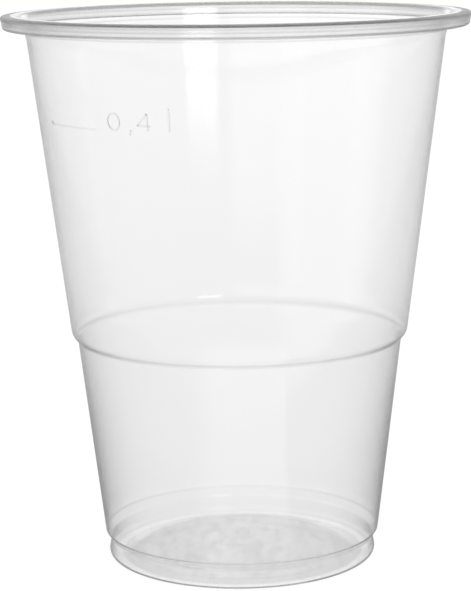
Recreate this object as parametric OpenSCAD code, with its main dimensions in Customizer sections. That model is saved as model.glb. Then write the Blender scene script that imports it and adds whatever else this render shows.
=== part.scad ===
// Clear disposable drinking cup, formed from one plastic sheet.
// The whole cup is one section turned about its axis. The section is laid out as the corners of
// the sheet's outside, each with its rounding and its sheet thickness, and the inside follows from
// them. The origin is on the axis in the plane that the cup stands on, with +Z towards the mouth.

/* [Overall] */
// Outside diameter of the rim, at the corner of its edge
rim_d = 101.2; // [97:0.1:108]
// Height from the standing ring to the crest of the rim
cup_h = 120.4; // [105:0.1:140]

/* [Sheet] */
// Thickness of the side wall
wall_t = 0.35; // [0.25:0.05:0.5]
// Thickness of the base and the foot
base_t = 0.3; // [0.25:0.05:0.6]
// Thickness of the rim
rim_t = 0.45; // [0.4:0.05:0.6]

/* [Rim] */
// Width from the wall's outside, at the bend below the rim, to the rim's edge
flange_w = 5.5; // [5.2:0.1:6.5]
// Depth of the bend in the wall below the crest
bend_drop = 5.4; // [4:0.1:6.5]
// How far the wall spreads from the bend up to the roll
collar_flare = 1.3; // [0.6:0.1:1.5]
// Width from the rim's crest to its edge
crest_w = 3; // [2.4:0.1:3.2]
// How far the rim's edge lies below its crest
edge_drop = 0.15; // [0.05:0.05:0.4]
// Height of the skirt that hangs from the rim's edge
skirt_h = 2.85; // [1.8:0.05:3.4]
// How far the skirt leans in towards its lip
skirt_lean = 0.4; // [0:0.1:0.8]
// How far the lip turns in below the skirt
lip_w = 0.5; // [0.4:0.1:0.9]

/* [Step in the wall] */
// Outside diameter of the wall at the top of the step
step_d = 74.1; // [70:0.1:77]
// Height of the top of the step
step_z = 50.7; // [40:0.1:70]
// How far the wall goes in at the step
step_w = 1.3; // [0.6:0.05:2]
// Height of the step's slope
step_h = 1.45; // [1:0.05:3]

/* [Foot] */
// Outside diameter of the wall at the shoulder above the foot
shoulder_d = 61.1; // [58:0.1:64]
// Height of that shoulder
shoulder_z = 5.85; // [5:0.05:9]
// How far the neck below the shoulder goes in
neck_w = 1.25; // [0.8:0.05:2]
// Height of the neck
neck_z = 4.1; // [3:0.05:4.6]
// How far the foot spreads again from the neck down to the standing plane
foot_spread = 0.7; // [0.4:0.05:1.2]
// Rounding of the foot's corner
foot_r = 1.2; // [0.8:0.1:1.5]

/* [Base] */
// Width from the foot's corner to the inner edge of the standing ring
ring_w = 3.2; // [2.8:0.1:5]
// Height of the recess inside the standing ring
recess_h = 0.7; // [0.4:0.1:1.5]
// Width of the slope from the ring up into the recess
recess_slope = 2; // [1.5:0.1:2.5]
// Diameter of the raised disc in the middle of the base
disc_d = 34; // [20:0.2:40]
// How far that disc rises above the recess
disc_h = 0.3; // [0.2:0.1:0.8]
// Width of the slope up to that disc
disc_slope = 2.5; // [1.5:0.1:4]
// Rounding of the edges in the base
base_r = 1; // [0.5:0.1:1.5]

/* [Hidden] */

// Largest turn between two neighbouring points of a rounding, in degrees
turn_step = 12;

// Rounding of the step's top and foot, the shoulder, the neck and the bend below the rim
step_top_r = 2.5;
step_foot_r = 0.25;
shoulder_r = 0.5;
neck_r = 0.7;
bend_r = 4;
// Rounding of the roll, the crest, the edge and the lip, on the rim's underside
roll_r = 1.3;
crest_r = 2;
edge_r = 0.05;
lip_r = 0.2;
// Rounding of the lip's end
tip_r = rim_t * 0.4;

rim_r = rim_d / 2;
step_top = [step_d / 2, step_z];
step_foot = [step_top.x - step_w, step_z - step_h];
shoulder = [shoulder_d / 2, shoulder_z];
neck = [shoulder.x - neck_w, neck_z];
foot = [neck.x + foot_spread, 0];
ring_in = foot.x - ring_w;

// Corners of the rim's underside, from the wall out to the edge, down the skirt and in along the lip
bend = [rim_r - flange_w, cup_h - bend_drop];
roll = [bend.x + collar_flare, cup_h - rim_t - edge_drop];
crest = [rim_r - crest_w, cup_h - rim_t];
edge = [rim_r - rim_t, cup_h - rim_t - edge_drop];
lip = [edge.x - skirt_lean, edge.y + 2 * rim_t - skirt_h];
tip = lip - [lip_w, 0];
tip_under = tip - [0, rim_t];

// Unit vector from a to b, and the normal on its left
function along(a, b) = (b - a) / norm(b - a);
function left(u) = [-u.y, u.x];

// Signed turn from direction u to direction v, positive to the left
function turn(u, v) = atan2(u.x * v.y - u.y * v.x, u * v);

// Points on an arc about c, from angle a0 to a1
function arc(c, r, a0, a1) =
    let (n = max(1, ceil(abs(a1 - a0) / turn_step)))
    [for (i = [0:n]) c + r * [cos(a0 + (a1 - a0) * i / n), sin(a0 + (a1 - a0) * i / n)]];

// Corner b between a and c, rounded with radius r
function fillet(a, b, c, r) =
    let (u = along(a, b), w = turn(u, along(b, c)), s = sign(w))
    let (start = b - u * r * tan(abs(w) / 2), n = s * left(u), a0 = atan2(-n.y, -n.x))
    abs(w) < 0.01 || r <= 0 ? [b] : arc(start + r * n, r, a0, a0 + w);

// A corner of the outside is [place, rounding, sheet thickness]. The last one is followed by point end.
function place(cs, i, end) = i < len(cs) ? cs[i][0] : end;

// Corners joined into an outline, from the first one, which stays sharp, to the last
function rounded(cs, end) = [
    for (i = [0:len(cs) - 1])
        each i == 0 ? [cs[0][0]] : fillet(cs[i - 1][0], cs[i][0], place(cs, i + 1, end), cs[i][1])
];

// The same corners moved through the sheet to its inside, which lies on the left of the outline
function inset(cs, end) = [
    for (i = [0:len(cs) - 1])
        let (
            p = cs[i][0],
            t = cs[i][2],
            v = along(p, place(cs, i + 1, end)),
            u = i == 0 ? v : along(cs[i - 1][0], p),
            m = (left(u) + left(v)) / (1 + left(u) * left(v))
        )
        [p + m * t, max(0, cs[i][1] - sign(turn(u, v)) * t), t]
];

function reversed(ps) = [for (i = [len(ps) - 1:-1:0]) ps[i]];

// Outside of the sheet, from the middle of the base up to the rim, along its underside and to its lip
outside = [
    [[0, recess_h + disc_h], 0, base_t],
    [[disc_d / 2 - disc_slope, recess_h + disc_h], base_r, base_t],
    [[disc_d / 2, recess_h], base_r, base_t],
    [[ring_in - recess_slope, recess_h], base_r, base_t],
    [[ring_in, 0], base_r, base_t],
    [foot, foot_r, base_t],
    [neck, neck_r, base_t],
    [shoulder, shoulder_r, wall_t],
    [step_foot, step_foot_r, wall_t],
    [step_top, step_top_r, wall_t],
    [bend, bend_r, wall_t],
    [roll, roll_r, rim_t],
    [crest, crest_r, rim_t],
    [edge, edge_r, rim_t],
    [lip, lip_r, rim_t]
];
under_side = rounded(outside, tip);
upper_side = rounded(inset(outside, tip), tip_under);

// Outline with each point once, where two neighbouring stretches end in the same point
function distinct(ps) = [for (i = [0:len(ps) - 1]) if (norm(ps[i] - ps[(i + 1) % len(ps)]) > 0.001) ps[i]];

section = distinct(concat(
    under_side,
    fillet(under_side[len(under_side) - 1], tip, tip_under, tip_r),
    fillet(tip, tip_under, upper_side[len(upper_side) - 1], tip_r),
    reversed(upper_side)
));

module cup() {
    color([0.93, 0.94, 0.95, 0.45])
    rotate_extrude($fn = 180)
    polygon(section);
}

cup();
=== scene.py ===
"""Looks of a clear disposable drinking cup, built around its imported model.

The cup is one thin sheet of clear plastic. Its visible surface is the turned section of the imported
solid, with finer curves and a gentler recess in the base, and the fill line and its plain numerals
are low ridges on the wall. The section and the ridges are laid out in millimetres and become metres
in their meshes. The looks and the studio are in metres, with +Z up and the camera on the -Y side.
"""

import math
from collections import namedtuple

import bpy
import numpy as np
from mathutils import Matrix, Vector


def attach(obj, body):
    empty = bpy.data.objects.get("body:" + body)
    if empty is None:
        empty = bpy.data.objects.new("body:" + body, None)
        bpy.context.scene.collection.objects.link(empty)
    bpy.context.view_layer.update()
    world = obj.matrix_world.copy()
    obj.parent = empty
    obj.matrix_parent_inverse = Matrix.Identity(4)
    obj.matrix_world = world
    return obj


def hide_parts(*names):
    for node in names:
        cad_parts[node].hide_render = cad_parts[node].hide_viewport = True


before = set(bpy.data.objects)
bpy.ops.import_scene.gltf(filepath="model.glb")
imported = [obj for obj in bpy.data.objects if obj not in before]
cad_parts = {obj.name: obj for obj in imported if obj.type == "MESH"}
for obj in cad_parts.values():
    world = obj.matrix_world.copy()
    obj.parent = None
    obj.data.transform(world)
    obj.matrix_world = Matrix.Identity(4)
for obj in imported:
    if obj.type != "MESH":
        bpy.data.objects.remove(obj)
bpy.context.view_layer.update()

MM = 0.001

# Thickness of the sheet
WALL_T = 0.35
BASE_T = 0.3
RIM_T = 0.45

# Rim. Its radius and the cup's height are a hundredth less than the solid's, to stay in its box.
RIM_R = 50.59
CUP_H = 120.39
FLANGE_W = 5.5
BEND_DROP = 5.4
COLLAR_FLARE = 1.3
CREST_W = 3.0
EDGE_DROP = 0.15
SKIRT_H = 2.85
SKIRT_LEAN = 0.4
LIP_W = 0.5

# Wall's bend below the rim, the step in it and the shoulder above the foot, as radius and height
BEND = np.array([RIM_R - FLANGE_W, CUP_H - BEND_DROP])
STEP_TOP = np.array([37.05, 50.7])
STEP_W = 1.3
STEP_H = 1.45
SHOULDER = np.array([30.55, 5.85])
WALL_LEAN = math.atan2(BEND[0] - STEP_TOP[0], BEND[1] - STEP_TOP[1])

# Neck and foot, and the standing ring, the recess and the raised disc of the base
NECK_W = 1.25
NECK_Z = 4.1
FOOT_SPREAD = 0.7
RING_W = 3.2
RECESS_H = 0.25
RECESS_SLOPE = 3.2
DISC_R = 17.0
DISC_H = 0.2
DISC_SLOPE = 4.0

# Roundings on the sheet's outside, from the base up to the lip's end
RECESS_R = 2.0
RING_R = 1.0
FOOT_R = 1.2
NECK_R = 0.7
SHOULDER_R = 0.5
STEP_FOOT_R = 0.25
STEP_TOP_R = 2.5
BEND_R = 4.0
ROLL_R = 1.3
CREST_R = 2.0
EDGE_R = 0.05
LIP_R = 0.2
TIP_R = RIM_T * 0.4

ARC_STEP = math.radians(8)  # largest turn between two points of a rounding
STRAIGHT = 1e-4  # a corner that turns less than this is left as it is
LONG_RUN = 1.0  # a straight run longer than this is divided
RUN_POINTS = 5  # points along such a run
SAME_PLACE = 1e-3  # points closer than this are one point
TURN_POINTS = 300  # points once round the cup

# Ridges on the wall: width and height, how deep they reach into the sheet, and the share of their
# height that is left where they run level
RIDGE_W = 0.4
RIDGE_H = 0.1
RIDGE_ROOT = 0.03
LEVEL_SHARE = 0.1
RIDGE_POINTS = 16  # points once round a ridge
RIDGE_STEP = 0.12  # distance between two points along it
RIDGE_FEWEST = 8  # fewest points along it

# Fill line and the tick at its left end, with azimuths in degrees from -Y towards +X
FILL_Z = 98.6
FILL_START = -62.9
FILL_END = -41.9
FILL_W = 0.3
FILL_H = 0.12
TICK_BELOW = 0.1
TICK_ABOVE = 0.7
TICK_LEAN = 0.2
TICK_W = 0.5
TICK_H = 0.06

# Numerals, with places as azimuth and height
FIGURE_FOOT = 98.9
NOUGHT_MIDDLE = (-35.1, 100.5)
NOUGHT_HALF = (1.95, 1.75)
NOUGHT_POINTS = 49
COMMA_TOP = (-29.6, 99.0)
COMMA_END = (-30.1, 97.9)
COMMA_H = 0.05
FOUR_TOP = 102.4
FOUR_BAR = 99.9
FOUR_LEFT = -27.6
FOUR_STEM = -24.5
FOUR_RIGHT = -23.6
LITRE_TOP = 103.6
LITRE_STEM = -18.2


def left_of(v):
    """The vector turned a quarter turn to the left."""
    return np.array([-v[1], v[0]])


def unit(v):
    """The vector scaled to length 1."""
    return v / np.hypot(*v)


def signed_turn(u, v):
    """Angle from direction u to direction v, positive to the left."""
    return math.atan2(u[0] * v[1] - u[1] * v[0], u @ v)


def arc(centre, radius, start, end):
    """Points centre + radius * (cos a, sin a), with a running evenly from start to end."""
    count = max(1, math.ceil(abs(end - start) / ARC_STEP)) + 1
    a = np.linspace(start, end, count)
    return centre + radius * np.stack([np.cos(a), np.sin(a)], axis=1)


def fillet(a, b, c, radius):
    """Corner b between a and c, replaced by the arc of that radius that touches both sides."""
    u = unit(b - a)
    w = signed_turn(u, unit(c - b))
    if radius <= 0 or abs(w) < STRAIGHT:
        return b[None, :]
    normal = left_of(u) * np.sign(w)
    start = b - u * radius * math.tan(abs(w) / 2)
    first = math.atan2(-normal[1], -normal[0])
    return arc(start + radius * normal, radius, first, first + w)


def rounded(corners, end):
    """Corners (place, rounding, thickness) joined into one outline, each with its rounding. The first
    corner stays sharp, and the last one turns towards the point end."""
    places = [c[0] for c in corners] + [end]
    turned = [
        fillet(places[i - 1], places[i], places[i + 1], corners[i][1])
        for i in range(1, len(corners))
    ]
    return np.concatenate([places[0][None, :], *turned])


def inset(corners, end):
    """The corners moved through the sheet, along each corner's mitre, to the sheet's other face."""
    places = [c[0] for c in corners] + [end]
    moved = []
    for i, (place, radius, thickness) in enumerate(corners):
        after = unit(places[i + 1] - place)
        before = unit(place - places[i - 1]) if i else after
        mitre = (left_of(before) + left_of(after)) / (1 + before @ after)
        turned = np.sign(signed_turn(before, after))
        moved.append((place + mitre * thickness, max(0.0, radius - turned * thickness), thickness))
    return moved


def with_runs(outline):
    """The outline with each long straight run divided, closer at its ends than in its middle."""
    steps = np.hypot(*np.diff(outline, axis=0).T)
    share = (1 - np.cos(np.linspace(0, math.pi, RUN_POINTS + 2)[1:-1])) / 2
    pieces = []
    for start, end, length in zip(outline[:-1], outline[1:], steps):
        pieces.append(start[None, :])
        if length > LONG_RUN:
            pieces.append(start + share[:, None] * (end - start))
    return np.concatenate([*pieces, outline[-1:]])


def cup_section():
    """Closed section of the sheet: out along the underside, up the outside, under the rim and round
    its skirt to the lip, back over the rim, down the inside, and to the axis on the cup's floor."""
    disc_top = RECESS_H + DISC_H
    neck = np.array([SHOULDER[0] - NECK_W, NECK_Z])
    foot = np.array([neck[0] + FOOT_SPREAD, 0])
    ring_in = foot[0] - RING_W
    under = CUP_H - RIM_T
    edge = np.array([RIM_R - RIM_T, under - EDGE_DROP])
    lip = edge + [-SKIRT_LEAN, 2 * RIM_T - SKIRT_H]
    corners = [
        ((0, disc_top), 0, BASE_T),
        ((DISC_R - DISC_SLOPE, disc_top), RECESS_R, BASE_T),
        ((DISC_R, RECESS_H), RECESS_R, BASE_T),
        ((ring_in - RECESS_SLOPE, RECESS_H), RECESS_R, BASE_T),
        ((ring_in, 0), RING_R, BASE_T),
        (foot, FOOT_R, BASE_T),
        (neck, NECK_R, BASE_T),
        (SHOULDER, SHOULDER_R, WALL_T),
        (STEP_TOP - [STEP_W, STEP_H], STEP_FOOT_R, WALL_T),
        (STEP_TOP, STEP_TOP_R, WALL_T),
        (BEND, BEND_R, WALL_T),
        ((BEND[0] + COLLAR_FLARE, under - EDGE_DROP), ROLL_R, RIM_T),
        ((RIM_R - CREST_W, under), CREST_R, RIM_T),
        (edge, EDGE_R, RIM_T),
        (lip, LIP_R, RIM_T),
    ]
    outside = [(np.array(place, float), radius, thickness) for place, radius, thickness in corners]
    tip = lip - [LIP_W, 0]
    tip_under = tip - [0, RIM_T]
    under_side = rounded(outside, tip)
    upper_side = rounded(inset(outside, tip), tip_under)
    outline = np.concatenate([
        under_side,
        fillet(under_side[-1], tip, tip_under, TIP_R),
        fillet(tip, tip_under, upper_side[-1], TIP_R),
        upper_side[::-1],
    ])
    apart = np.hypot(*np.diff(outline, axis=0).T) > SAME_PLACE
    return with_runs(outline[np.concatenate([[True], apart])])


def surface_object(name, points, faces):
    """A smooth shaded object of those points, in metres, and faces."""
    mesh = bpy.data.meshes.new(name)
    mesh.from_pydata(points.tolist(), [], faces)
    mesh.shade_smooth()
    piece = bpy.data.objects.new(name, mesh)
    bpy.context.scene.collection.objects.link(piece)
    return piece


def grid_faces(rows, columns, closed_rows=False):
    """Quads of a grid of points numbered row by row, closed across its columns and perhaps its rows."""
    number = np.arange(rows * columns).reshape(rows, columns)
    if closed_rows:
        number = np.concatenate([number, number[:1]])
    beside = np.roll(number, -1, axis=1)
    quads = np.stack([number[:-1], beside[:-1], beside[1:], number[1:]], axis=-1)
    return quads.reshape(-1, 4).tolist()


def cap_faces(rows, columns, first_pole, last_pole):
    """Triangles that join the first and the last row of such a grid to a pole each."""
    along = np.arange(columns)
    beside = np.roll(along, -1)
    last = (rows - 1) * columns
    first_fan = np.stack([np.full(columns, first_pole), beside, along], axis=-1)
    last_fan = np.stack([np.full(columns, last_pole), last + along, last + beside], axis=-1)
    return first_fan.tolist() + last_fan.tolist()


def turned_cup(name, outline_mm):
    """Outline turned about Z: (r, z) goes to (r cos a, r sin a, z), with a running once round. The
    outline starts and ends on the axis, where each end is one point that a fan closes."""
    r, z = (outline_mm[1:-1] * MM).T
    a = np.linspace(0, 2 * math.pi, TURN_POINTS, endpoint=False)
    height = np.tile(z[:, None], TURN_POINTS)
    rings = np.stack([np.outer(r, np.cos(a)), np.outer(r, np.sin(a)), height], axis=-1)
    poles = np.array([[0, 0, outline_mm[0, 1] * MM], [0, 0, outline_mm[-1, 1] * MM]])
    count = len(r) * TURN_POINTS
    faces = grid_faces(len(r), TURN_POINTS) + cap_faces(len(r), TURN_POINTS, count, count + 1)
    return surface_object(name, np.concatenate([rings.reshape(-1, 3), poles]), faces)


def wall_radius(z_mm):
    """Radius of the wall's outside at a height above the step, which grows evenly with the height."""
    return STEP_TOP[0] + (z_mm - STEP_TOP[1]) * math.tan(WALL_LEAN)


def on_wall(azimuth, z_mm, out_mm):
    """Points on the wall's outside, moved out along its normal."""
    a = np.radians(azimuth)
    r = wall_radius(z_mm) + out_mm * math.cos(WALL_LEAN)
    z = z_mm - out_mm * math.sin(WALL_LEAN)
    return np.stack([r * np.sin(a), -r * np.cos(a), z], axis=-1) * MM


def even_points(corners, closed):
    """Points at even steps along the straight lines from corner to corner, how far along each lies,
    and the whole length. On a closed path, the last point is one step short of the first."""
    steps = np.hypot(*np.diff(corners, axis=0).T)
    gone = np.concatenate([[0], np.cumsum(steps)])
    count = max(RIDGE_FEWEST, round(gone[-1] / RIDGE_STEP))
    s = np.linspace(0, gone[-1], count, endpoint=not closed)
    places = np.stack([np.interp(s, gone, corners[:, 0]), np.interp(s, gone, corners[:, 1])], axis=-1)
    return places, s, gone[-1]


def ridge(path, closed=False, width=RIDGE_W, height=RIDGE_H):
    """Points and faces of a low ridge along a path of (azimuth, height) on the wall. Its section is an
    oval, w/2 cos b across the path and h sin b outwards, with a shallower half below the wall's face.
    It is lower where it runs level, and narrows to a point over half its width at each end, as a
    circle does."""
    per_degree = wall_radius(FILL_Z) * math.radians(1)
    place, s, length = even_points(path * [per_degree, 1], closed)
    if closed:
        ahead = np.roll(place, -1, axis=0) - np.roll(place, 1, axis=0)
        swell = np.ones(len(place))
    else:
        ahead = np.gradient(place, axis=0)
        near_end = np.clip(np.minimum(s, length - s) / (width / 2), 0, 1)
        swell = np.sqrt(1 - (1 - near_end) ** 2)
    ahead /= np.hypot(*ahead.T)[:, None]
    across = np.stack([-ahead[:, 1], ahead[:, 0]], axis=-1)
    b = np.linspace(0, 2 * math.pi, RIDGE_POINTS, endpoint=False)
    side = np.outer(swell, np.cos(b)) * width / 2
    raised = swell * (LEVEL_SHARE + (1 - LEVEL_SHARE) * np.abs(ahead[:, 1]))
    out = np.outer(raised, np.where(np.sin(b) > 0, height, RIDGE_ROOT) * np.sin(b))
    spot = place[:, None, :] + across[:, None, :] * side[..., None]
    points = on_wall(spot[..., 0] / per_degree, spot[..., 1], out)
    if closed:
        return points.reshape(-1, 3), grid_faces(len(points), RIDGE_POINTS, closed_rows=True)
    rings = points[1:-1]
    poles = points[[0, -1], 0]
    size = len(rings) * RIDGE_POINTS
    faces = grid_faces(len(rings), RIDGE_POINTS) + cap_faces(len(rings), RIDGE_POINTS, size, size + 1)
    return np.concatenate([rings.reshape(-1, 3), poles]), faces


def joined_ridges(name, ridges):
    """One object of several ridges."""
    points = np.concatenate([r[0] for r in ridges])
    starts = np.cumsum([0] + [len(r[0]) for r in ridges])
    faces = [[n + start for n in face] for (_, some), start in zip(ridges, starts) for face in some]
    return surface_object(name, points, faces)


def fill_line():
    """Fill line, level and a little below the numerals' feet, with a short tick at its left end."""
    level = np.array([[FILL_START, FILL_Z], [FILL_END, FILL_Z]])
    tick = np.array([[FILL_START, FILL_Z - TICK_BELOW], [FILL_START - TICK_LEAN, FILL_Z + TICK_ABOVE]])
    ridges = [ridge(level, width=FILL_W, height=FILL_H), ridge(tick, width=TICK_W, height=TICK_H)]
    return joined_ridges("fill_line", ridges)


def fill_numerals():
    """Plain numerals of the filling volume, in litres: 0,4 and the sign for litre. The nought is the
    oval middle + (w cos t, h sin t)."""
    t = np.linspace(0, 2 * math.pi, NOUGHT_POINTS)
    nought = NOUGHT_MIDDLE + NOUGHT_HALF * np.stack([np.cos(t), np.sin(t)], axis=-1)
    comma = np.array([COMMA_TOP, COMMA_END])
    four_bar = np.array([[FOUR_STEM, FOUR_TOP], [FOUR_LEFT, FOUR_BAR], [FOUR_RIGHT, FOUR_BAR]])
    four_stem = np.array([[FOUR_STEM, FOUR_TOP], [FOUR_STEM, FIGURE_FOOT]])
    litre = np.array([[LITRE_STEM, LITRE_TOP], [LITRE_STEM, FIGURE_FOOT]])
    ridges = [ridge(nought, closed=True), ridge(comma, height=COMMA_H)]
    ridges += [ridge(path) for path in (four_bar, four_stem, litre)]
    return joined_ridges("fill_numerals", ridges)


def feed(tree, sockets, terms):
    """Gives each socket its term, which is a number or the socket of another node."""
    for socket, term in zip(sockets, terms):
        if isinstance(term, (int, float)):
            socket.default_value = term
        else:
            tree.links.new(term, socket)


def maths(tree, operation, *terms):
    """Result of a Math node."""
    made = tree.nodes.new("ShaderNodeMath")
    made.operation = operation
    feed(tree, made.inputs, terms)
    return made.outputs[0]


def product(tree, first, *others):
    """All the terms multiplied."""
    for other in others:
        first = maths(tree, "MULTIPLY", first, other)
    return first


def ramp(tree, value, start, end, low=0.0, high=1.0, curve="SMOOTHSTEP"):
    """Change from low, where the value is start, to high, where it is end. It is smooth or LINEAR."""
    made = tree.nodes.new("ShaderNodeMapRange")
    made.interpolation_type = curve
    feed(tree, made.inputs, (value, start, end, low, high))
    return made.outputs[0]


def above(tree, value, place, soft):
    """0 below a place and 1 above it, changing smoothly over soft on both its sides."""
    return ramp(tree, value, place - soft, place + soft)


def below(tree, value, place, soft):
    """1 below a place and 0 above it, changing smoothly over soft on both its sides."""
    return ramp(tree, value, place - soft, place + soft, 1.0, 0.0)


def band(tree, value, start, end, soft):
    """1 between start and end, falling smoothly to 0 over the width soft outside them."""
    rising = ramp(tree, value, start - soft, start)
    falling = ramp(tree, value, end, end + soft, 1.0, 0.0)
    return product(tree, rising, falling)


def between(tree, mask, elsewhere, there):
    """elsewhere where the mask is 0 and there where it is 1. Each is a number or a socket."""
    mix = tree.nodes.new("ShaderNodeMix")
    tree.links.new(mask, mix.inputs["Factor"])
    feed(tree, mix.inputs[2:4], (elsewhere, there))
    return mix.outputs[0]


def noise(tree, place, scale, detail, roughness):
    """Value of a noise texture at that place."""
    made = tree.nodes.new("ShaderNodeTexNoise")
    made.inputs["Scale"].default_value = scale
    made.inputs["Detail"].default_value = detail
    made.inputs["Roughness"].default_value = roughness
    tree.links.new(place, made.inputs["Vector"])
    return made.outputs[0]


def split(tree, place):
    """X, Y and Z of a vector."""
    made = tree.nodes.new("ShaderNodeSeparateXYZ")
    tree.links.new(place, made.inputs[0])
    return made.outputs


def combined(tree, x, y, z):
    """The vector of X, Y and Z."""
    made = tree.nodes.new("ShaderNodeCombineXYZ")
    feed(tree, made.inputs, (x, y, z))
    return made.outputs[0]


def axis_distance(tree, x, y):
    """Distance from the cup's axis."""
    return maths(tree, "SQRT", maths(tree, "ADD", product(tree, x, x), product(tree, y, y)))


def azimuth_of(tree, x, y):
    """Azimuth of a direction, in radians from -Y towards +X."""
    return maths(tree, "ARCTAN2", x, product(tree, y, -1.0))


# Zones of the sheet, by height and by distance from the axis, in metres
BASE_TOP = 0.0033
BASE_TOP_SOFT = 0.0003
BASE_OUTER = 0.0315
BASE_OUTER_SOFT = 0.0015
HAZE_OUTER = 0.0235
HAZE_OUTER_SOFT = 0.003
WALL_LOW = 0.006
WALL_FULL = 0.009
FOLD_HALF = 0.0001
FOLD_SOFT = 0.00025
RIM_LOW = 0.1165
RIM_LOW_SOFT = 0.0003
RIM_INNER = 0.0462
RIM_INNER_SOFT = 0.0005
SKIRT_INNER = 0.0495
LIP_TOP = 0.118
CREASE_Z = 0.11875
CREASE_HALF = 0.0001
FACE_TOP = 0.1198
EDGE_INNER = 0.0485
EDGE_LOW = 0.1197
EDGE_LOW_SOFT = 0.0003
SKIRT_SOFT = 0.0002  # softness of the zones in the skirt and the edge

# The folds at the shoulder, the step and the bend: their height, how much light they pass, and how
# much less where they are seen along their face. Both are painted shade along the folds.
Fold = namedtuple("Fold", "z tint depth")
FOLDS = (
    Fold(z=0.00605, tint=0.955, depth=0.35),
    Fold(z=0.05, tint=1.0, depth=0.3),
    Fold(z=0.11675, tint=0.89, depth=0.2),
)

# Painted shade in the sheet's colour: how much light the sheet passes, by its share of the cup's height,
# darker low on the wall, and what the zones pass of that. The haze passes more than the wall's curve
# gives for the base, apart from its darker flecks.
WALL_SHADE_TINTS = ((0.0, 0.955), (0.2, 0.92), (0.5, 0.93), (0.75, 0.95), (1.0, 0.98))
# Painted shade on the rolled rim, its edge and its lip, and darker still in the crease above the lip
RIM_SHADE_TINT = 0.97
EDGE_SHADE_TINT = 0.96
LIP_SHADE_TINT = 0.96
CREASE_SHADE_TINT = 0.87
HAZE_TINT = 1.03
FLECK_TINT = 0.95

# Painted shade where the sheet is seen along its face, towards its outline: how much less passes, low
# and high on the wall, and from the middle of the skirt up to its edge
LOW_DEPTH = 0.62
HIGH_DEPTH = 0.28
LOW_DEPTH_Z = 0.02
HIGH_DEPTH_Z = 0.07
SKIRT_DEPTH = 0.4
EDGE_DEPTH = 0.75
SKIRT_DEPTH_Z = 0.1188
EDGE_DEPTH_Z = 0.1196

# Roughness of the zones, and the share of it by which the wall's and the base's go up and down
WALL_ROUGHNESS = 0.05
WALL_ROUGHNESS_CHANGE = 0.2
BASE_ROUGHNESS = 0.13
BASE_ROUGHNESS_CHANGE = 0.15
FOLD_ROUGHNESS = 0.15
RIM_ROUGHNESS = 0.15
EDGE_ROUGHNESS = 0.45
LIP_ROUGHNESS = 0.6

# Noises as scale, detail and roughness, the part of their values that shows, and how high they stand
# as bumps. The haze's flecks are drawn out along the sheet's grain, which runs along Y.
FLECKS = (400.0, 3.0, 0.55)
FLECK_RANGE = (0.4, 0.7)
FLECK_HEIGHT = 0.000004
GRAIN_SHARE = 0.3
FINE_GRAIN = (500.0, 2.0, 0.5)
FINE_RANGE = (0.3, 0.7)
STREAKS = (14.0, 3.0, 0.5)
STREAK_HEIGHT = 0.00001
STREAK_RISE = 4.0  # how far their noise runs on for each metre up the wall, where once round is 2 pi
RIPPLES = (45.0, 2.0, 0.4)
RIPPLE_HEIGHT = 0.00002

PLASTIC_IOR = 1.49

Zones = namedtuple("Zones", "folds rim face edge lip crease base haze wall")


def sheet_zones(tree, z, distance):
    """Masks of the sheet's zones: its folds, the rolled rim, the upright face of the rim's skirt, the
    rim's edge, the lip and the crease above it, the base, the haze in it, and the wall."""
    rim = product(
        tree,
        above(tree, z, RIM_LOW, RIM_LOW_SOFT),
        above(tree, distance, RIM_INNER, RIM_INNER_SOFT),
    )
    skirt = product(tree, rim, above(tree, distance, SKIRT_INNER, SKIRT_SOFT))
    edge_ring = above(tree, distance, EDGE_INNER, SKIRT_SOFT)
    low = below(tree, z, BASE_TOP, BASE_TOP_SOFT)
    crease_low, crease_high = CREASE_Z - CREASE_HALF, CREASE_Z + CREASE_HALF
    return Zones(
        folds=[band(tree, z, fold.z - FOLD_HALF, fold.z + FOLD_HALF, FOLD_SOFT) for fold in FOLDS],
        rim=rim,
        face=product(tree, skirt, band(tree, z, LIP_TOP + SKIRT_SOFT, FACE_TOP, SKIRT_SOFT)),
        edge=product(tree, edge_ring, above(tree, z, EDGE_LOW, EDGE_LOW_SOFT)),
        lip=product(tree, skirt, below(tree, z, LIP_TOP, SKIRT_SOFT)),
        crease=product(tree, skirt, band(tree, z, crease_low, crease_high, SKIRT_SOFT)),
        base=product(tree, low, below(tree, distance, BASE_OUTER, BASE_OUTER_SOFT)),
        haze=product(tree, low, below(tree, distance, HAZE_OUTER, HAZE_OUTER_SOFT)),
        wall=product(tree, ramp(tree, z, WALL_LOW, WALL_FULL), maths(tree, "SUBTRACT", 1.0, rim)),
    )


def painted_wall_shade(tree, z):
    """Painted shade of the wall: how much light it passes, from a curve over its height, less low down."""
    curve = tree.nodes.new("ShaderNodeFloatCurve")
    points = curve.mapping.curves[0].points
    points[0].location = WALL_SHADE_TINTS[0]
    points[1].location = WALL_SHADE_TINTS[-1]
    for place in WALL_SHADE_TINTS[1:-1]:
        points.new(*place)
    curve.mapping.update()
    tree.links.new(ramp(tree, z, 0.0, CUP_H * MM, curve="LINEAR"), curve.inputs["Value"])
    return curve.outputs[0]


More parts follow.
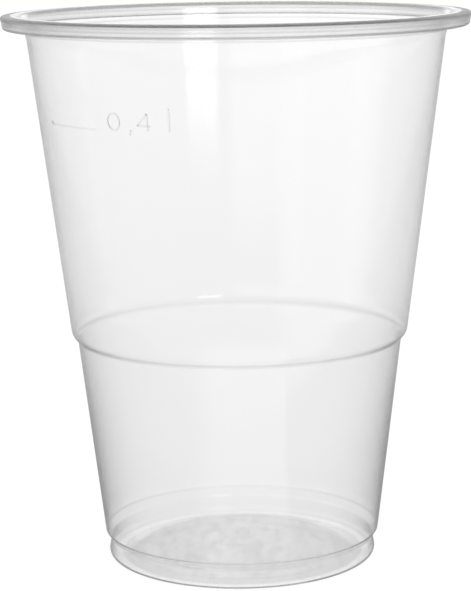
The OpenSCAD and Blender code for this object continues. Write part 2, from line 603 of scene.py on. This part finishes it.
def sheet_tint(tree, z, zones, flecks):
    """How much light the sheet passes, as painted shade apart from the haze and its flecks: what the wall
    passes at its height, times what each zone passes of that, and less where the sheet is seen along its
    face."""
    kept = [
        (zones.rim, RIM_SHADE_TINT),
        (zones.edge, EDGE_SHADE_TINT),
        (zones.lip, LIP_SHADE_TINT),
        (zones.crease, CREASE_SHADE_TINT),
        (zones.haze, between(tree, flecks, HAZE_TINT, HAZE_TINT * FLECK_TINT)),
    ]
    kept += [(mask, fold.tint) for mask, fold in zip(zones.folds, FOLDS)]
    tint = product(tree, painted_wall_shade(tree, z), *[between(tree, mask, 1.0, part) for mask, part in kept])

    # Painted shade towards the outline, where the sheet is seen along its face
    facing = tree.nodes.new("ShaderNodeLayerWeight").outputs["Facing"]
    up_the_wall = ramp(tree, z, LOW_DEPTH_Z, HIGH_DEPTH_Z, LOW_DEPTH, HIGH_DEPTH)
    up_the_face = ramp(tree, z, SKIRT_DEPTH_Z, EDGE_DEPTH_Z, SKIRT_DEPTH, EDGE_DEPTH)
    facing_shades = [
        product(tree, zones.wall, up_the_wall, maths(tree, "POWER", facing, 2.0)),
        product(tree, zones.face, up_the_face),
    ]
    facing_shades += [product(tree, mask, fold.depth) for mask, fold in zip(zones.folds, FOLDS)]
    for depth in facing_shades:
        tint = product(tree, tint, maths(tree, "SUBTRACT", 1.0, product(tree, depth, facing)))
    return tint


def sheet_roughness(tree, place, zones, flecks):
    """Roughness of the sheet: a glossy wall with a fine grain, duller folds and rim, and the base."""
    fine = noise(tree, place, *FINE_GRAIN)
    wall_low = WALL_ROUGHNESS * (1 - WALL_ROUGHNESS_CHANGE)
    wall_high = WALL_ROUGHNESS * (1 + WALL_ROUGHNESS_CHANGE)
    base_low = BASE_ROUGHNESS * (1 - BASE_ROUGHNESS_CHANGE)
    base_high = BASE_ROUGHNESS * (1 + BASE_ROUGHNESS_CHANGE)
    parts = [(mask, FOLD_ROUGHNESS) for mask in zones.folds]
    parts += [
        (zones.rim, RIM_ROUGHNESS),
        (zones.edge, EDGE_ROUGHNESS),
        (zones.lip, LIP_ROUGHNESS),
        (zones.base, between(tree, flecks, base_low, base_high)),
    ]
    roughness = ramp(tree, fine, *FINE_RANGE, wall_low, wall_high)
    for mask, there in parts:
        roughness = between(tree, mask, roughness, there)
    return roughness


def sheet_height(tree, place, zones, flecks):
    """Height of the sheet's faint unevenness: streaks where it was drawn up the wall, wide ripples,
    and the flecks of the haze. The streaks' noise is read at the direction from the axis."""
    x, y, z = split(tree, place)
    distance = axis_distance(tree, x, y)
    drawn = combined(
        tree,
        maths(tree, "DIVIDE", x, distance),
        maths(tree, "DIVIDE", y, distance),
        product(tree, z, STREAK_RISE),
    )
    height = product(tree, noise(tree, drawn, *STREAKS), STREAK_HEIGHT)
    height = maths(tree, "MULTIPLY_ADD", noise(tree, place, *RIPPLES), RIPPLE_HEIGHT, height)
    return maths(tree, "MULTIPLY_ADD", product(tree, zones.haze, flecks), FLECK_HEIGHT, height)


def clear_plastic():
    """Clear plastic whose colour carries painted shade: it is clearer up the wall, and darker along its
    folds, rolled rim and crease and towards its outline. It is duller along its folds and its rolled rim,
    and has a flecked haze in the base."""
    material = bpy.data.materials.new("clear_plastic")
    material.use_nodes = True
    tree = material.node_tree
    shader = tree.nodes["Principled BSDF"]
    shader.inputs["IOR"].default_value = PLASTIC_IOR
    shader.inputs["Transmission Weight"].default_value = 1.0

    place = tree.nodes.new("ShaderNodeTexCoord").outputs["Object"]
    x, y, z = split(tree, place)
    zones = sheet_zones(tree, z, axis_distance(tree, x, y))
    along_grain = combined(tree, x, product(tree, y, GRAIN_SHARE), z)
    flecks = ramp(tree, noise(tree, along_grain, *FLECKS), *FLECK_RANGE)

    # The base colour carries the painted shade of the sheet's tint
    grey = tree.nodes.new("ShaderNodeCombineColor")
    feed(tree, grey.inputs, [sheet_tint(tree, z, zones, flecks)] * 3)
    tree.links.new(grey.outputs[0], shader.inputs["Base Color"])
    tree.links.new(sheet_roughness(tree, place, zones, flecks), shader.inputs["Roughness"])
    bump = tree.nodes.new("ShaderNodeBump")
    bump.inputs["Distance"].default_value = 1.0
    tree.links.new(sheet_height(tree, place, zones, flecks), bump.inputs["Height"])
    tree.links.new(bump.outputs[0], shader.inputs["Normal"])
    return material


def seen_straight(tree):
    """1 for a ray that comes from the camera or that left the clear sheet without being mirrored, or
    mirrored an even number of times, and 0 for a ray that goes back from the surface it met."""
    path = tree.nodes.new("ShaderNodeLightPath")
    odd = maths(tree, "MODULO", path.outputs["Glossy Depth"], 2.0)
    through = product(tree, path.outputs["Is Transmission Ray"], maths(tree, "LESS_THAN", odd, 0.5))
    return maths(tree, "MAXIMUM", path.outputs["Is Camera Ray"], through)


# Brightness of the room from the horizon up, by the sine of a direction's elevation
HORIZON_GLOW = 0.95
ROOM_GLOW = 0.4
HORIZON_SINE = 0.15
ROOM_SINE = 0.45
# White backdrop where it is seen straight, fading upwards between these sines
WHITE_FULL = 0.05
WHITE_GONE = 0.25

# Soft windows that the cup mirrors: azimuth, half width and softness in degrees, lower and upper end
# and softness as sines of the elevation, and strength. The last two are low behind the cup and show
# in the ends of its rim.
Window = namedtuple("Window", "azimuth half_width soft low high soft_sine strength")
WINDOWS = (
    Window(21.5, 8.0, 3.0, 0.19, 0.5, 0.08, 3.0),
    Window(-35.0, 4.0, 6.0, 0.05, 0.6, 0.03, 0.5),
    Window(-14.0, 13.0, 8.0, 0.12, 0.5, 0.05, 0.6),
    Window(-68.0, 20.0, 22.0, 0.0, 0.4, 0.05, 0.75),
    Window(170.0, 5.0, 3.0, 0.1, 0.23, 0.03, 0.6),
    Window(-170.0, 5.0, 3.0, 0.1, 0.23, 0.03, 0.6),
)


def window_glow(tree, degrees, sine, window):
    """Glow of a soft edged window in a direction, from its azimuth and its elevation's sine."""
    left, right = window.azimuth - window.half_width, window.azimuth + window.half_width
    across = band(tree, degrees, left, right, window.soft)
    upright = band(tree, sine, window.low, window.high, window.soft_sine)
    return product(tree, across, upright, window.strength)


def studio_world():
    """White backdrop where it is seen straight and not far up. Above it, and in what the cup mirrors,
    is a pale room with a brighter horizon and soft windows."""
    world = bpy.data.worlds.new("studio")
    bpy.context.scene.world = world
    world.use_nodes = True
    tree = world.node_tree
    tree.nodes.clear()
    x, y, z = split(tree, tree.nodes.new("ShaderNodeTexCoord").outputs["Generated"])
    degrees = product(tree, azimuth_of(tree, x, y), 180 / math.pi)
    glow = ramp(tree, z, HORIZON_SINE, ROOM_SINE, HORIZON_GLOW, ROOM_GLOW)
    for window in WINDOWS:
        glow = maths(tree, "ADD", glow, window_glow(tree, degrees, z, window))
    room = tree.nodes.new("ShaderNodeBackground")
    tree.links.new(glow, room.inputs["Color"])
    white = tree.nodes.new("ShaderNodeBackground")
    white.inputs["Color"].default_value = (1, 1, 1, 1)
    backdrop = product(tree, seen_straight(tree), ramp(tree, z, WHITE_FULL, WHITE_GONE, 1.0, 0.0))
    mix = tree.nodes.new("ShaderNodeMixShader")
    feed(tree, mix.inputs, (backdrop, room.outputs[0], white.outputs[0]))
    out = tree.nodes.new("ShaderNodeOutputWorld")
    tree.links.new(mix.outputs[0], out.inputs["Surface"])


# Floor: half its side, the grey that takes light and shadow, and the glow where it is seen straight
FLOOR_HALF = 4.0
FLOOR_GREY = 0.22
SEEN_GLOW = 0.9
# What the cup mirrors of it: a glow that grows with the distance from the axis, as painted shadow
# that darkens the floor near the cup
NEAR_R = 0.08
FAR_R = 0.3
NEAR_SHADOWED_GLOW = 0.25
FAR_GLOW = 0.5
# and a painted pool of light in front, by azimuth in radians and by distance
POOL_OF_LIGHT_GLOW = 0.55
PATCH_LEFT = (-0.65, -0.2)
PATCH_RIGHT = (0.47, 0.53)
PATCH_NEAR = 0.05
PATCH_FAR = 0.13
PATCH_SOFT = 0.03


def mirrored_floor(tree):
    """Glow of the floor in what the cup mirrors, with painted shadow near the cup and a painted pool of
    light in front.
    """
    x, y, _ = split(tree, tree.nodes.new("ShaderNodeTexCoord").outputs["Object"])
    distance = axis_distance(tree, x, y)
    azimuth = azimuth_of(tree, x, y)
    away = ramp(tree, distance, NEAR_R, FAR_R, NEAR_SHADOWED_GLOW, FAR_GLOW)
    painted_pool = product(
        tree,
        ramp(tree, azimuth, *PATCH_LEFT),
        ramp(tree, azimuth, *PATCH_RIGHT, 1.0, 0.0),
        band(tree, distance, PATCH_NEAR, PATCH_FAR, PATCH_SOFT),
    )
    return maths(tree, "MULTIPLY_ADD", painted_pool, POOL_OF_LIGHT_GLOW, away)


def studio_floor():
    """Pale floor. Its own grey takes the light and the shadow, and a glow lifts it to white where it
    is seen straight. What the cup mirrors of it is a glow of its own, with painted shadow near the cup
    and a painted pool of light in front."""
    mesh = bpy.data.meshes.new("floor")
    s = FLOOR_HALF
    mesh.from_pydata([(-s, -s, 0), (s, -s, 0), (s, s, 0), (-s, s, 0)], [], [(0, 1, 2, 3)])
    floor = bpy.data.objects.new("floor", mesh)
    bpy.context.scene.collection.objects.link(floor)
    material = bpy.data.materials.new("pale_floor")
    material.use_nodes = True
    tree = material.node_tree
    tree.nodes.clear()
    diffuse = tree.nodes.new("ShaderNodeBsdfDiffuse")
    diffuse.inputs["Color"].default_value = (FLOOR_GREY, FLOOR_GREY, FLOOR_GREY, 1)
    seen = seen_straight(tree)
    mirrored = product(tree, mirrored_floor(tree), maths(tree, "SUBTRACT", 1.0, seen))
    glow = tree.nodes.new("ShaderNodeEmission")
    tree.links.new(maths(tree, "MULTIPLY_ADD", seen, SEEN_GLOW, mirrored), glow.inputs["Strength"])
    both = tree.nodes.new("ShaderNodeAddShader")
    feed(tree, both.inputs, (diffuse.outputs[0], glow.outputs[0]))
    out = tree.nodes.new("ShaderNodeOutputMaterial")
    tree.links.new(both.outputs[0], out.inputs["Surface"])
    mesh.materials.append(material)


def softbox(name, azimuth, elevation, distance, width, height, strength):
    """An area lamp that faces the cup from an azimuth and an elevation in degrees. It lights the floor
    and isn't mirrored in the cup."""
    a, e = math.radians(azimuth), math.radians(elevation)
    away = Vector((math.sin(a) * math.cos(e), -math.cos(a) * math.cos(e), math.sin(e)))
    data = bpy.data.lights.new(name, "AREA")
    data.shape = "RECTANGLE"
    data.size, data.size_y = width, height
    data.energy = strength * math.pi * width * height
    lamp = bpy.data.objects.new(name, data)
    lamp.visible_camera = False
    lamp.visible_glossy = False
    lamp.visible_transmission = False
    bpy.context.scene.collection.objects.link(lamp)
    middle = Vector((0, 0, CUP_H * MM / 2))
    turn = away.to_track_quat("Z", "Y").to_matrix().to_4x4()
    lamp.matrix_world = Matrix.Translation(middle + away * distance) @ turn


# Camera of the photograph: its place, its angles in degrees, and its focal length and the
# photograph's longer side in pixels
CAMERA_PLACE = (0, -0.4560, 0.14325)
YAW = -0.102
PITCH = 10.578
ROLL = -0.72
FOCAL_PIXELS = 2098.3
PHOTO_HEIGHT = 591
SENSOR_MM = 36


def photo_camera():
    """Camera at the photograph's place: turned by yaw, pitched down, and rolled about its line of sight."""
    yaw, pitch, roll = (math.radians(angle) for angle in (YAW, PITCH, ROLL))
    ahead = Vector((math.sin(yaw) * math.cos(pitch), math.cos(yaw) * math.cos(pitch), -math.sin(pitch)))
    level = Vector((math.cos(yaw), -math.sin(yaw), 0))
    upright = level.cross(ahead)
    right = level * math.cos(roll) + upright * math.sin(roll)
    up = upright * math.cos(roll) - level * math.sin(roll)
    data = bpy.data.cameras.new("camera")
    data.sensor_width = SENSOR_MM
    data.lens = FOCAL_PIXELS / PHOTO_HEIGHT * SENSOR_MM
    camera = bpy.data.objects.new("camera", data)
    turn = Matrix((right, up, -ahead)).transposed().to_4x4()
    camera.matrix_world = Matrix.Translation(CAMERA_PLACE) @ turn
    bpy.context.scene.collection.objects.link(camera)
    bpy.context.scene.camera = camera


plastic = clear_plastic()
cup = turned_cup("clear_cup", cup_section())
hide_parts("cup")
for piece in (cup, fill_line(), fill_numerals()):
    piece.data.materials.append(plastic)
    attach(piece, "root")

studio_world()
studio_floor()
softbox("top_softbox", azimuth=0, elevation=85, distance=0.9, width=0.7, height=0.7, strength=2.0)
photo_camera()
scene = bpy.context.scene
scene.view_settings.view_transform = "Standard"
scene.cycles.glossy_bounces = 12  # light runs on inside the sheet where it is seen along its edge
